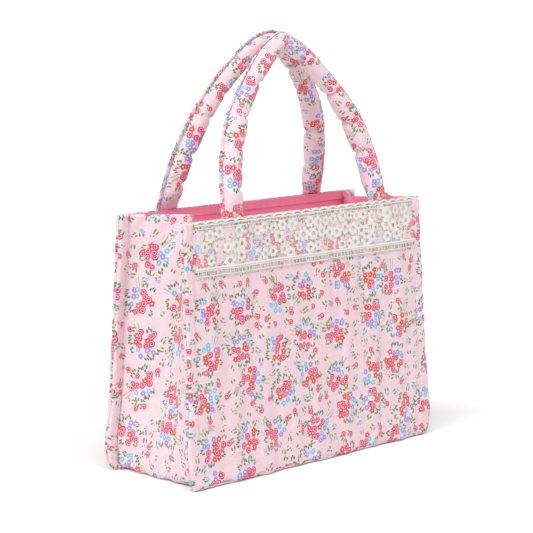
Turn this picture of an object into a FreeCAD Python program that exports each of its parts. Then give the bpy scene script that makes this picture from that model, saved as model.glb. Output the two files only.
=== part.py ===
import FreeCAD, Part
import math
import os

import Sketcher

# A padded fabric knitting bag: an open-topped tote with corner seams that stand out as flanges,
# gussets that fold inward at the mouth, a lined and wadded wall, a lace band on the front and two
# padded tube handles that swing on the top edge.
#
# Frame: +X to the right along the front, +Y to the back, +Z up. The origin is on the floor at the
# middle of the base. Millimetres.

V = FreeCAD.Vector

# Driving dimensions: alias, value in millimetres (degrees for angles), meaning.
SIZES = [
    ("body_height", 270.0, "floor to the top edge of the bag"),
    ("top_width", 330.0, "between the two corner seams along the front, at the top"),
    ("bottom_width", 340.0, "the same at the floor"),
    ("top_depth", 104.0, "front face to back face at the top"),
    ("bottom_depth", 136.0, "the same at the floor"),
    ("seam_flange", 12.0, "how far a turned-out corner seam stands out beyond its stitching"),
    ("fabric", 1.0, "printed outer fabric with its interlining"),
    ("wadding", 3.0, "wadding between outer fabric and lining"),
    ("lining", 0.8, "plain lining fabric"),
    ("facing", 0.6, "turned hem of the lining at the mouth"),
    ("facing_height", 10.0, "height of that hem"),
    ("fold_top", 42.0, "how far a gusset's middle folds inward at the mouth"),
    ("fold_bottom", 1.0, "the same at the floor"),
    ("board", 2.0, "stiffening board in the base"),
    ("board_gap", 0.6, "clearance from the board and base lining to the wall lining"),
    ("corner_gap", 0.6, "clearance from the front and back padding to the gusset"),
    ("lace_total", 57.0, "height of the whole lace trim below the top edge"),
    ("lace_net", 0.4, "thickness of the net"),
    ("braid", 0.8, "thickness of the lace braids sewn on the net"),
    ("ladder_height", 11.0, "height of the openwork braid along the bottom of the lace"),
    ("scallop_height", 9.5, "height of the scalloped braid along the top edge"),
    ("scallop_rise", 1.0, "how far the scallops stand above the top edge"),
    ("handle_span", 214.0, "centre to centre of one handle's two ends"),
    ("leg_radius", 211.0, "bend radius of a handle's legs"),
    ("leg_turn", 50.0, "angle through which each leg bends before the crown"),
    ("handle_radius", 11.5, "outer radius of the padded tube"),
    ("handle_cover", 1.0, "fabric thickness of the handle cover"),
    ("seam_strip", 5.5, "width of the flat seam along the outside of the handle"),
    ("seam_strip_thickness", 2.0, "thickness of that seam"),
    ("end_taper", 24.0, "length over which a handle end flattens"),
    ("end_thickness", 3.0, "thickness of the flattened end"),
    ("end_gap", 0.8, "from the swing axis to the handle's end"),
    ("axis_rise", 4.0, "height of the swing axis above the top edge"),
    ("axis_out", 2.0, "how far the swing axis stands outside the outer face"),
    ("crown_gap", 0.8, "space between the two handles where they lean together"),
    ("tab_width", 22.0, "width of the handle end that is sewn into the hem"),
    ("tab_depth", 20.0, "how far that end reaches down inside the wall"),
    ("tab_thickness", 2.0, "its thickness"),
    ("tab_rise", 2.0, "how far it stands above the top edge"),
    ("tab_clearance", 0.4, "space round a tab in its notch in the wadding"),
    ("stitch_length", 3.0, "visible length of one topstitch"),
    ("stitch_pitch", 4.5, "from one stitch to the next"),
    ("stitch_width", 0.6, "thread width"),
    ("stitch_proud", 0.4, "how far a stitch stands off the fabric"),
    ("stitch_inset", 1.5, "from the corner to the row of stitches, out along the seam"),
    ("stitch_margin", 9.0, "plain length at each end of a row"),
]

doc = FreeCAD.newDocument("knitting_bag")
sheet = doc.addObject("Spreadsheet::Sheet", "Sizes")
for row, (alias, value, meaning) in enumerate(SIZES, start=1):
    sheet.set(f"A{row}", alias)
    sheet.set(f"B{row}", str(value))
    sheet.set(f"C{row}", meaning)
    sheet.setAlias(f"B{row}", alias)
doc.recompute()

parts = []


def size(alias):
    """The number in one cell of the sheet."""
    return float(sheet.get(alias))


def value_of(expression):
    """What an expression on the sheet's cells comes to."""
    return float(sheet.evalExpression(expression))


# Shape of the bag at a height, as expressions. The walls are straight from floor to top edge.
TOP = "Sizes.body_height"
SHELL = "(Sizes.fabric + Sizes.wadding + Sizes.lining)"


def taper(low, high, height):
    return f"({low} + ({high} - {low}) * ({height}) / Sizes.body_height)"


def half_width(height):
    return f"({taper('Sizes.bottom_width', 'Sizes.top_width', height)} / 2)"


def half_depth(height):
    return f"({taper('Sizes.bottom_depth', 'Sizes.top_depth', height)} / 2)"


def fold(height):
    return taper("Sizes.fold_bottom", "Sizes.fold_top", height)


def gusset_room(height):
    """Width at each end of the front and back padding that belongs to the folded gusset."""
    stack = f"({SHELL} + Sizes.facing)"
    return f"({stack} * (1 + {fold(height)} / {half_depth(height)}) + Sizes.corner_gap)"


# Sketches and bodies.
def plane_of(body, role):
    return next(f for f in body.Origin.OriginFeatures if f.Role == role)


def new_body(name):
    body = doc.addObject("PartDesign::Body", name)
    body.Label = name
    return body


def new_sketch(body, name, role="XY_Plane", height=None):
    sketch = body.newObject("Sketcher::SketchObject", name)
    sketch.AttachmentSupport = (plane_of(body, role), [""])
    sketch.MapMode = "FlatFace"
    if height is not None:
        sketch.setExpression("AttachmentOffset.Base.z", height)
    return sketch


def fix_point(sketch, geometry, point, along_x, along_y):
    """Ties one point of a sketch to expressions for its two coordinates."""
    for kind, axis, expression in (("DistanceX", -2, along_x), ("DistanceY", -1, along_y)):
        if expression == "0":
            sketch.addConstraint(Sketcher.Constraint("PointOnObject", geometry, point, axis))
            continue
        here = value_of(expression)
        index = sketch.addConstraint(Sketcher.Constraint(kind, geometry, point, here))
        sketch.setExpression(f"Constraints[{index}]", expression)


def polygon(sketch, points):
    """A closed outline whose corners are pairs of expressions."""
    spots = [V(value_of(x), value_of(y), 0) for x, y in points]
    start = sketch.GeometryCount
    count = len(spots)
    for i in range(count):
        sketch.addGeometry(Part.LineSegment(spots[i], spots[(i + 1) % count]), False)
    for i in range(count):
        joined = start + (i + 1) % count
        sketch.addConstraint(Sketcher.Constraint("Coincident", start + i, 2, joined, 1))
    for i, (x, y) in enumerate(points):
        fix_point(sketch, start + i, 1, x, y)


def rectangle(sketch, x_low, x_high, y_low, y_high):
    polygon(sketch, [(x_low, y_low), (x_high, y_low), (x_high, y_high), (x_low, y_high)])


def ruled_loft(name, low, high, outline):
    """A body lofted straight from the outline at one height to the outline at another."""
    body = new_body(name)
    sketches = []
    for tag, height in (("low", low), ("high", high)):
        sketch = new_sketch(body, f"{name}_{tag}", height=height)
        polygon(sketch, outline(height))
        sketches.append(sketch)
    loft = body.newObject("PartDesign::AdditiveLoft", f"{name}_loft")
    loft.Profile = sketches[0]
    loft.Sections = [sketches[1]]
    loft.Ruled = True
    for sketch in sketches:
        sketch.Visibility = False
    body.Tip = loft
    return body


def keep(part):
    parts.append(part)
    return part


# Flat walls: side is -1 for the front wall and +1 for the back wall.
def wall_layer(name, side, outer, thickness, reach, low, high):
    """One layer of a flat wall, from `outer` inside the bag's face. reach gives its half width."""
    def outline(height):
        face = f"({half_depth(height)} - ({outer}))"
        back = f"({half_depth(height)} - ({outer}) - ({thickness}))"
        end = reach(height)
        near, far = (f"-{face}", f"-{back}") if side < 0 else (back, face)
        return [(f"-{end}", near), (end, near), (end, far), (f"-{end}", far)]
    return ruled_loft(name, low, high, outline)


def with_flange(height):
    return f"({half_width(height)} + Sizes.seam_flange)"


def between_gussets(height):
    return f"({half_width(height)} - {gusset_room(height)})"


def between_seams(height):
    return half_width(height)


def notch_for_tabs(body, side):
    """Cuts the two notches in a wadding layer that take the sewn-in handle ends."""
    sketch = new_sketch(body, f"{body.Name}_notches", role="XZ_Plane")
    floor = f"({TOP} - Sizes.tab_depth - Sizes.tab_clearance)"
    half = "(Sizes.tab_width / 2 + Sizes.tab_clearance)"
    for sign in ("-", ""):
        middle = f"({sign}Sizes.handle_span / 2)"
        rectangle(sketch, f"({middle} - {half})", f"({middle} + {half})", floor, f"({TOP} + 1)")
    before = body.Tip.Shape.Volume
    pocket = body.newObject("PartDesign::Pocket", f"{body.Name}_pocket")
    pocket.Profile = sketch
    pocket.Type = "ThroughAll"
    pocket.Midplane = True
    sketch.Visibility = False
    body.Tip = pocket
    doc.recompute()
    if not pocket.Shape.Volume < before:
        raise ValueError(f"{body.Name}: the notches cut nothing")


def build_flat_wall(name, side):
    floor = "Sizes.fabric"
    keep(wall_layer(f"{name}_outer_panel", side, "0", "Sizes.fabric", with_flange, floor, TOP))
    padding = wall_layer(
        f"{name}_wadding", side, "Sizes.fabric", "Sizes.wadding", between_gussets, floor, TOP)
    doc.recompute()
    notch_for_tabs(padding, side)
    keep(padding)
    inner = "(Sizes.fabric + Sizes.wadding)"
    keep(wall_layer(f"{name}_lining", side, inner, "Sizes.lining", between_gussets, floor, TOP))
    hem = f"({TOP} - Sizes.facing_height)"
    keep(wall_layer(f"{name}_facing", side, SHELL, "Sizes.facing", between_gussets, hem, TOP))


# Gussets: hand is -1 for the left and +1 for the right.
def chevron(hand, offset, thickness):
    """Outline of one folded gusset layer, `offset` inside the gusset's outer face."""
    def outline(height):
        side = f"({half_width(height)} - ({offset}))"
        inside = f"({half_width(height)} - ({offset}) - ({thickness}))"
        end = f"({half_depth(height)} - Sizes.fabric)"
        deep = fold(height)
        sign = "-" if hand < 0 else ""
        return [
            (f"{sign}{side}", f"-{end}"),
            (f"{sign}({side} - {deep})", "0"),
            (f"{sign}{side}", end),
            (f"{sign}{inside}", end),
            (f"{sign}({inside} - {deep})", "0"),
            (f"{sign}{inside}", f"-{end}"),
        ]
    return outline


def lipped_chevron(hand):
    """Outline of a gusset's outer fabric, with the two lips that lie along the corner seams."""
    def outline(height):
        side = half_width(height)
        inside = f"({half_width(height)} - Sizes.fabric)"
        lip = f"({half_width(height)} + Sizes.seam_flange)"
        near = f"({half_depth(height)} - Sizes.fabric)"
        far = f"({half_depth(height)} - 2 * Sizes.fabric)"
        deep = fold(height)
        sign = "-" if hand < 0 else ""
        return [
            (f"{sign}{lip}", f"-{near}"),
            (f"{sign}{inside}", f"-{near}"),
            (f"{sign}({inside} - {deep})", "0"),
            (f"{sign}{inside}", near),
            (f"{sign}{lip}", near),
            (f"{sign}{lip}", far),
            (f"{sign}{side}", far),
            (f"{sign}({side} - {deep})", "0"),
            (f"{sign}{side}", f"-{far}"),
            (f"{sign}{lip}", f"-{far}"),
        ]
    return outline


def build_gusset(name, hand):
    floor = "Sizes.fabric"
    keep(ruled_loft(f"{name}_outer_gusset", floor, TOP, lipped_chevron(hand)))
    padding = chevron(hand, "Sizes.fabric", "Sizes.wadding")
    keep(ruled_loft(f"{name}_gusset_wadding", floor, TOP, padding))
    inner = chevron(hand, "Sizes.fabric + Sizes.wadding", "Sizes.lining")
    keep(ruled_loft(f"{name}_gusset_lining", floor, TOP, inner))
    hem = f"({TOP} - Sizes.facing_height)"
    facing = chevron(hand, SHELL, "Sizes.facing")
    keep(ruled_loft(f"{name}_gusset_facing", hem, TOP, facing))


# Base.
def slab(name, half_x, half_y, low, thickness):
    body = new_body(name)
    sketch = new_sketch(body, f"{name}_outline", height=low)
    rectangle(sketch, f"-{half_x}", half_x, f"-{half_y}", half_y)
    pad = body.newObject("PartDesign::Pad", f"{name}_pad")
    pad.Profile = sketch
    pad.setExpression("Length", thickness)
    sketch.Visibility = False
    body.Tip = pad
    return keep(body)


def build_base():
    slab("base_outer_panel", half_width("0"), half_depth("0"), "0", "Sizes.fabric")
    board_top = "(Sizes.fabric + Sizes.board + Sizes.lining)"
    room_x = (f"({half_width(board_top)} - {SHELL} - {fold(board_top)} - Sizes.board_gap)")
    room_y = f"({half_depth(board_top)} - {SHELL} - Sizes.board_gap)"
    slab("base_board", room_x, room_y, "Sizes.fabric", "Sizes.board")
    slab("base_lining", room_x, room_y, "(Sizes.fabric + Sizes.board)", "Sizes.lining")


# Lace on the front, between the two front corner seams.
def build_lace():
    net_foot = f"({TOP} - Sizes.lace_total)"
    net = wall_layer(
        "lace_net", -1, "-Sizes.lace_net", "Sizes.lace_net", between_seams, net_foot, TOP)
    keep(net)
    on_net = "-Sizes.lace_net - Sizes.braid"
    ladder_top = f"({net_foot} + Sizes.ladder_height)"
    keep(wall_layer(
        "lace_ladder_braid", -1, on_net, "Sizes.braid", between_seams, net_foot, ladder_top))
    scallop_top = f"({TOP} + Sizes.scallop_rise)"
    scallop_foot = f"({scallop_top} - Sizes.scallop_height)"
    keep(wall_layer(
        "lace_scallop_braid", -1, on_net, "Sizes.braid", between_seams, scallop_foot,
        scallop_top))


# Handles. Each is drawn upright in its own frame, with its swing axis through the origin along X,
# and is then leaned inward until the two crowns all but touch.
SPAN = "(Sizes.handle_span / 2)"
CROWN_RADIUS = (
    f"(({SPAN} - Sizes.leg_radius * (1 - cos(Sizes.leg_turn * 1 deg)))"
    " / cos(Sizes.leg_turn * 1 deg))")


def handle_numbers():
    """Leg radius, leg turn in radians, crown radius, half span and crown height as numbers."""
    leg, turn = size("leg_radius"), math.radians(size("leg_turn"))
    span = size("handle_span") / 2
    crown = (span - leg * (1 - math.cos(turn))) / math.cos(turn)
    height = leg * math.sin(turn) + crown * (1 - math.sin(turn))
    return leg, turn, crown, span, height


def handle_path(body, name, start_height):
    """The arch in the XZ plane: leg, crown and leg as three tangent arcs, starting at a height."""
    leg, turn, crown, span, height = handle_numbers()
    start = math.asin(value_of(start_height) / leg)
    sketch = new_sketch(body, name, role="XZ_Plane")
    up = V(0, 0, 1)
    right = Part.Circle(V(span - leg, 0, 0), up, leg)
    top = Part.Circle(V(0, height - crown, 0), up, crown)
    left = Part.Circle(V(leg - span, 0, 0), up, leg)
    sketch.addGeometry(Part.ArcOfCircle(right, start, turn), False)
    sketch.addGeometry(Part.ArcOfCircle(top, turn, math.pi - turn), False)
    sketch.addGeometry(Part.ArcOfCircle(left, math.pi - turn, math.pi - start), False)
    sketch.addConstraint(Sketcher.Constraint("Tangent", 0, 2, 1, 1))
    sketch.addConstraint(Sketcher.Constraint("Tangent", 1, 2, 2, 1))
    for arc, radius in ((0, "Sizes.leg_radius"), (1, CROWN_RADIUS), (2, "Sizes.leg_radius")):
        index = sketch.addConstraint(Sketcher.Constraint("Radius", arc, value_of(radius)))
        sketch.setExpression(f"Constraints[{index}]", radius)
    fix_point(sketch, 0, 3, f"({SPAN} - Sizes.leg_radius)", "0")
    fix_point(sketch, 2, 3, f"(Sizes.leg_radius - {SPAN})", "0")
    for arc, point in ((0, 1), (2, 2)):
        index = sketch.addConstraint(
            Sketcher.Constraint("DistanceY", arc, point, value_of(start_height)))
        sketch.setExpression(f"Constraints[{index}]", start_height)
    sketch.Visibility = False
    return sketch


def pipe(body, kind, name, profile, path):
    feature = body.newObject(f"PartDesign::{kind}Pipe", name)
    feature.Profile = profile
    feature.Spine = (path, ["Edge1", "Edge2", "Edge3"])
    profile.Visibility = False
    body.Tip = feature
    return feature


def core_profile(body, name, path):
    """A circle of the core's radius, square to the start of the path."""
    sketch = body.newObject("Sketcher::SketchObject", name)
    sketch.AttachmentSupport = [(path, "Edge1"), (path, "Vertex1")]
    sketch.MapMode = "NormalToEdge"
    radius = "(Sizes.handle_radius - Sizes.handle_cover)"
    sketch.addGeometry(Part.Circle(V(0, 0, 0), V(0, 0, 1), value_of(radius)), False)
    sketch.addConstraint(Sketcher.Constraint("Coincident", 0, 3, -1, 1))
    index = sketch.addConstraint(Sketcher.Constraint("Radius", 0, value_of(radius)))
    sketch.setExpression(f"Constraints[{index}]", radius)
    return sketch


def flatten_ends(body, name):
    """Cuts the two ends of the tube to a chisel, as thick as the sewn-in end."""
    sketch = new_sketch(body, f"{name}_wedges", role="YZ_Plane")
    clear = "(Sizes.handle_radius + Sizes.seam_strip)"
    for sign in ("-", ""):
        polygon(sketch, [
            (f"{sign}(Sizes.end_thickness / 2)", "0"),
            (f"{sign}(Sizes.handle_radius + Sizes.handle_cover)", "Sizes.end_taper"),
            (f"{sign}(2 * {clear})", "Sizes.end_taper"),
            (f"{sign}(2 * {clear})", "0"),
        ])
    pocket = body.newObject("PartDesign::Pocket", f"{name}_chisel")
    pocket.Profile = sketch
    pocket.Type = "ThroughAll"
    pocket.Midplane = True
    sketch.Visibility = False
    body.Tip = pocket


def lean_handle(body, side):
    """Stands a handle on its swing axis and leans it inward about that axis."""
    height = handle_numbers()[4]
    out = value_of(half_depth(TOP)) + size("axis_out")
    reach = out - size("handle_radius") - size("crown_gap") / 2
    lean = math.degrees(math.asin(reach / height))
    place = V(0, side * out, size("body_height") + size("axis_rise"))
    body.Placement = FreeCAD.Placement(place, FreeCAD.Rotation(V(1, 0, 0), side * lean))


def build_handle(name, side):
    cover = new_body(f"{name}_handle_cover")
    path = handle_path(cover, f"{name}_cover_path", "Sizes.end_gap")
    ring = new_sketch(cover, f"{name}_tube_section", height="Sizes.end_gap")
    middle, radius = value_of(SPAN), size("handle_radius")
    ring.addGeometry(Part.Circle(V(middle, 0, 0), V(0, 0, 1), radius), False)
    fix_point(ring, 0, 3, SPAN, "0")
    index = ring.addConstraint(Sketcher.Constraint("Radius", 0, radius))
    ring.setExpression(f"Constraints[{index}]", "Sizes.handle_radius")
    pipe(cover, "Additive", f"{name}_tube", ring, path)
    strip = new_sketch(cover, f"{name}_strip_section", height="Sizes.end_gap")
    root = f"({SPAN} + Sizes.handle_radius - Sizes.handle_cover / 2)"
    tip = f"({SPAN} + Sizes.handle_radius + Sizes.seam_strip)"
    half = "(Sizes.seam_strip_thickness / 2)"
    rectangle(strip, root, tip, f"-{half}", half)
    pipe(cover, "Additive", f"{name}_strip", strip, path)
    flatten_ends(cover, f"{name}_cover")
    doc.recompute()
    core_start = "(Sizes.end_taper + Sizes.end_gap)"
    hollow_path = handle_path(cover, f"{name}_hollow_path", core_start)
    doc.recompute()
    hollow = core_profile(cover, f"{name}_hollow_section", hollow_path)
    doc.recompute()
    before = cover.Tip.Shape.Volume
    pipe(cover, "Subtractive", f"{name}_hollow", hollow, hollow_path)
    doc.recompute()
    if not cover.Tip.Shape.Volume < before:
        raise ValueError(f"{name}: the handle cover was not hollowed")
    lean_handle(cover, side)
    keep(cover)
    core = new_body(f"{name}_handle_core")
    core_path = handle_path(core, f"{name}_core_path", core_start)
    doc.recompute()
    section = core_profile(core, f"{name}_core_section", core_path)
    doc.recompute()
    pipe(core, "Additive", f"{name}_core", section, core_path)
    lean_handle(core, side)
    keep(core)


def build_tabs(name, side):
    """The two handle ends that are sewn into the wall, as one group."""
    bodies = []
    low, high = f"({TOP} - Sizes.tab_depth)", f"({TOP} + Sizes.tab_rise)"
    middle_of_wadding = "(Sizes.fabric + Sizes.wadding / 2)"
    for tag, sign in (("left", "-"), ("right", "")):
        def outline(height, sign=sign):
            middle = f"({sign}Sizes.handle_span / 2)"
            x_low = f"({middle} - Sizes.tab_width / 2)"
            x_high = f"({middle} + Sizes.tab_width / 2)"
            centre = f"({half_depth(height)} - {middle_of_wadding})"
            near = f"({centre} - Sizes.tab_thickness / 2)"
            far = f"({centre} + Sizes.tab_thickness / 2)"
            if side < 0:
                near, far = f"-{far}", f"-{near}"
            return [(x_low, near), (x_high, near), (x_high, far), (x_low, far)]
        bodies.append(ruled_loft(f"{name}_{tag}_tab", low, high, outline))
    group = doc.addObject("Part::Compound", f"{name}_handle_tabs")
    group.Label = f"{name}_handle_tabs"
    group.Links = bodies
    keep(group)


# Topstitching that holds the corner seams together, on the faces of the front and back panels.
def stitch_row(side, hand):
    """The stitches of one corner, as boxes on the outer face of the panel."""
    height = size("body_height")
    margin, pitch, length = size("stitch_margin"), size("stitch_pitch"), size("stitch_length")
    inset = size("stitch_inset")
    ends = []
    for level in (0.0, height):
        x = hand * (value_of(half_width(str(level))) + inset)
        y = side * value_of(half_depth(str(level)))
        ends.append(V(x, y, level))
    along = (ends[1] - ends[0]).normalize()
    proud = V(1, 0, 0).cross(along).normalize() * -side
    across = proud.cross(along)
    turn = FreeCAD.Rotation(across, proud, along, "ZYX")
    run = (ends[1] - ends[0]).Length - 2 * margin
    count = int(run // pitch)
    width, thick = size("stitch_width"), size("stitch_proud")
    box = Part.makeBox(width, thick, length, V(-width / 2, 0, 0))
    row = []
    for i in range(count):
        stitch = box.copy()
        start = ends[0] + along * (margin + i * pitch)
        stitch.Placement = FreeCAD.Placement(start, turn)
        row.append(stitch)
    return row


def build_stitches(name, side):
    node = doc.addObject("Part::Feature", f"{name}_corner_stitches")
    node.Label = f"{name}_corner_stitches"
    node.Shape = Part.makeCompound(stitch_row(side, -1) + stitch_row(side, 1))
    panel = doc.getObject(f"{name}_outer_panel").Shape
    if node.Shape.Solids[0].common(panel).Volume > 0:
        raise ValueError(f"{name}: the stitches are sunk into the panel")
    keep(node)


def check(part):
    """Stops the build if a sub-part failed or is not made of valid closed solids."""
    shape = part.Shape
    if shape.isNull() or not shape.isValid() or not shape.Solids:
        raise ValueError(f"{part.Label}: no valid solid")
    for solid in shape.Solids:
        if solid.Volume <= 0:
            raise ValueError(f"{part.Label}: a solid has no volume")


def main():
    build_base()
    for name, side in (("front", -1), ("back", 1)):
        build_flat_wall(name, side)
        build_tabs(name, side)
        build_handle(name, side)
        build_stitches(name, side)
    for name, hand in (("left", -1), ("right", 1)):
        build_gusset(name, hand)
    build_lace()
    doc.recompute()
    for thing in doc.Objects:
        if "Invalid" in thing.State or "Error" in thing.State:
            raise ValueError(f"{thing.Label}: {thing.State}")
    os.makedirs("parts", exist_ok=True)
    for part in parts:
        check(part)
        part.Shape.exportStep(f"parts/{part.Label}.step")
        print(part.Label, round(part.Shape.Volume), len(part.Shape.Solids))


main()
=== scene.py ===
import math
import random

import bmesh
import bpy
import numpy as np
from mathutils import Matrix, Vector


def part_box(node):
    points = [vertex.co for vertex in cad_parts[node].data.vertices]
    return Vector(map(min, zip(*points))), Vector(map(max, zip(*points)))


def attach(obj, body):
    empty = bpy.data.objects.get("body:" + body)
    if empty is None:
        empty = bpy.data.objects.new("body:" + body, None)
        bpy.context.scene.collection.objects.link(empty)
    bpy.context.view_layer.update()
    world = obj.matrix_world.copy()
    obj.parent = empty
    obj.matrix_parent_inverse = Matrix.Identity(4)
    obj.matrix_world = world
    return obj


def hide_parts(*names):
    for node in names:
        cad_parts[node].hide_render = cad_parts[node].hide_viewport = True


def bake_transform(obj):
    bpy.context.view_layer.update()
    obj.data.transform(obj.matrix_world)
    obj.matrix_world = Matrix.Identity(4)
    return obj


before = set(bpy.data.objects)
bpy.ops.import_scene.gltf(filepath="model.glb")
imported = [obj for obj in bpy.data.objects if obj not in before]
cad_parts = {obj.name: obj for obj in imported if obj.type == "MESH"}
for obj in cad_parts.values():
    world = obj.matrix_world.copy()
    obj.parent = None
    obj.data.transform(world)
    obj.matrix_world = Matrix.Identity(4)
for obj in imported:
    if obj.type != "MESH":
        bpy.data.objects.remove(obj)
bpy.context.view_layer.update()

# A padded floral knitting bag. Metres; the front faces -Y, Z is up.
MM = 0.001


# -------- sizes read from the frame
def level(node, height, reach=1.5 * MM):
    """Lowest and highest corner of a node's points near one height."""
    points = np.array([v.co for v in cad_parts[node].data.vertices])
    near = points[abs(points[:, 2] - height) < reach]
    return near.min(axis=0), near.max(axis=0)


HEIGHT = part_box("front_outer_panel")[1].z
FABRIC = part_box("base_outer_panel")[1].z
BOTTOM_HALF_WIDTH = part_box("base_outer_panel")[1].x
BOTTOM_HALF_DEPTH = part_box("base_outer_panel")[1].y
TOP_HALF_WIDTH = level("lace_net", HEIGHT)[1][0]
TOP_HALF_DEPTH = -level("front_outer_panel", HEIGHT)[0][1]
FLANGE = level("front_outer_panel", HEIGHT)[1][0] - TOP_HALF_WIDTH
FOLD_TOP = TOP_HALF_WIDTH - FABRIC - abs(level("left_outer_gusset", HEIGHT)[1][0])
FACING_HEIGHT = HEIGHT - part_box("front_facing")[0].z
LACE_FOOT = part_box("lace_net")[0].z
LADDER_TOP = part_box("lace_ladder_braid")[1].z
SCALLOP_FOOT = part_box("lace_scallop_braid")[0].z
TAB_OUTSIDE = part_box("front_handle_tabs")[1].x

# Sizes of the cloth that the frame's plain solids don't hold.
LAYER = 4.0 * MM            # printed fabric with its wadding
LINING = 0.8 * MM
HEM = 1.0 * MM              # turned hem of the lining
ROUND_UNDER = 7.0 * MM      # how the walls roll under at the floor
REST = 0.2 * MM             # lowest height of any cloth, just clear of the floor
FLANGE_CORNER = 24.0 * MM   # rounding of a corner seam's foot
FLANGE_ROUND = 0.92         # how much of the flange that rounding takes away
SEAM_TUCK = 13.0 * MM       # how far a corner seam tucks in at the floor
BACK_PHASE = 2.4            # shifts the back wall's ripples from the front's
TUBE_RADIUS = 11.5 * MM
TAB_HALF_WIDTH = 11.0 * MM
HANDLE_HALF_SPAN = TAB_OUTSIDE - TAB_HALF_WIDTH


def half_width(z):
    """Half the distance between the corner seams at one height."""
    return BOTTOM_HALF_WIDTH + (TOP_HALF_WIDTH - BOTTOM_HALF_WIDTH) * z / HEIGHT


def half_depth(z):
    """Half the distance between the front and back faces at one height."""
    return BOTTOM_HALF_DEPTH + (TOP_HALF_DEPTH - BOTTOM_HALF_DEPTH) * z / HEIGHT


def fold_depth(z):
    """How far the middle of a gusset folds inward at one height."""
    return 1.0 * MM + (FOLD_TOP - 1.0 * MM) * np.clip(z / HEIGHT, 0, 1)


def flare(z):
    """How far the corner seams spread beyond the frame's straight edge near the floor."""
    return 3.5 * MM * np.exp(-((np.asarray(z) - 0.034) / 0.03) ** 2)


def smooth(t):
    """Rises gently from 0 to 1 as t does."""
    t = np.clip(t, 0, 1)
    return t * t * (3 - 2 * t)


# -------- mesh helpers
def stacked(*parts):
    """Arrays and numbers of matching shapes, side by side along a new last axis."""
    return np.stack(np.broadcast_arrays(*parts), axis=-1)


def make_piece(name, points, faces, uvs=None):
    """A smooth-shaded mesh object; uvs holds one pair of metres for each point."""
    mesh = bpy.data.meshes.new(name)
    mesh.from_pydata([tuple(p) for p in points], [], [tuple(f) for f in faces])
    if uvs is not None:
        layer = mesh.uv_layers.new(name="cloth")
        corner_points = np.zeros(len(mesh.loops), np.int32)
        mesh.loops.foreach_get("vertex_index", corner_points)
        layer.data.foreach_set("uv", np.asarray(uvs, np.float32)[corner_points].ravel())
    mesh.validate()
    mesh.shade_smooth()
    piece = bpy.data.objects.new(name, mesh)
    bpy.context.scene.collection.objects.link(piece)
    return piece


def quads_over(index, flip=False):
    """Quads over a grid of point numbers."""
    quads = stacked(index[:-1, :-1], index[1:, :-1], index[1:, 1:], index[:-1, 1:]).reshape(-1, 4)
    return quads[:, ::-1] if flip else quads


def grid_faces(rows, columns, start=0, flip=False):
    """Quads over a grid of points numbered row by row from `start`."""
    return quads_over(np.arange(rows * columns).reshape(rows, columns) + start, flip)


def grid_normals(grid):
    """Unit normals of a grid of points, on the side that row cross column points to."""
    across = np.gradient(grid, axis=1)
    along = np.gradient(grid, axis=0)
    normals = np.cross(along, across)
    return normals / np.maximum(np.linalg.norm(normals, axis=-1, keepdims=True), 1e-12)


def edge_profile(count, size, radius):
    """How much of its thickness a layer has along one direction: a round edge at each end."""
    place = size * np.linspace(0, 1, count)
    gap = np.clip(np.minimum(place, size - place) / radius, 0, 1)
    return np.sqrt(1 - (1 - gap) ** 2)


def slab(name, middle, outer, inner, uv, radius=2.5 * MM):
    """A padded layer about the grid `middle`, `outer` and `inner` thick on its two sides."""
    rows, columns = middle.shape[:2]
    long_way = np.linalg.norm(np.diff(middle[:, columns // 2], axis=0), axis=-1).sum()
    wide_way = np.linalg.norm(np.diff(middle[rows // 2], axis=0), axis=-1).sum()
    fade = np.outer(edge_profile(rows, long_way, radius), edge_profile(columns, wide_way, radius))
    normals = grid_normals(middle)
    front = middle + normals * (outer * fade)[..., None]
    back = middle - normals * (inner * fade)[..., None]
    points = np.concatenate([front.reshape(-1, 3), back.reshape(-1, 3)])
    points[:, 2] = np.maximum(points[:, 2], REST)
    count = rows * columns
    joined = np.arange(2 * count)
    rim = np.zeros((rows, columns), bool)
    rim[[0, -1], :] = True
    rim[:, [0, -1]] = True
    rim = np.flatnonzero(rim)
    joined[rim + count] = rim
    faces = np.concatenate([
        grid_faces(rows, columns), joined[grid_faces(rows, columns, count, flip=True)]])
    used, faces = np.unique(faces, return_inverse=True)
    uvs = np.concatenate([uv.reshape(-1, 2), uv.reshape(-1, 2)])
    return make_piece(name, points[used], faces.reshape(-1, 4), uvs[used])


def dense_ends(count):
    """Parameters from 0 to 1 that crowd together towards both ends."""
    t = np.linspace(0, 1, count)
    return (0.5 - 0.5 * np.cos(math.pi * t)) * 0.35 + t * 0.65


def tube(points, radius, sides=8, closed=False):
    """Points and faces of a round thread along a line, for joining into a bigger mesh."""
    line = np.asarray(points, float)
    ahead = np.roll(line, -1, axis=0) - np.roll(line, 1, axis=0)
    if not closed:
        ahead[0], ahead[-1] = line[1] - line[0], line[-1] - line[-2]
    ahead /= np.maximum(np.linalg.norm(ahead, axis=1, keepdims=True), 1e-12)
    helper = np.tile([0.0, 1.0, 0.0], (len(line), 1))
    helper[abs(ahead[:, 1]) > 0.9] = [1.0, 0.0, 0.0]
    side = np.cross(ahead, helper)
    side /= np.linalg.norm(side, axis=1, keepdims=True)
    up = np.cross(side, ahead)
    turn = np.linspace(0, 2 * math.pi, sides, endpoint=False)
    ring = np.cos(turn)[None, :, None] * side[:, None] + np.sin(turn)[None, :, None] * up[:, None]
    shell = (line[:, None] + np.asarray(radius) * ring).reshape(-1, 3)
    faces = []
    rows = len(line)
    for i in range(rows if closed else rows - 1):
        for k in range(sides):
            a, b = i * sides, (i + 1) % rows * sides
            faces.append((a + k, a + (k + 1) % sides, b + (k + 1) % sides, b + k))
    if not closed:
        faces.append(tuple(range(sides - 1, -1, -1)))
        faces.append(tuple(range((rows - 1) * sides, rows * sides)))
    return shell, faces


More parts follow.
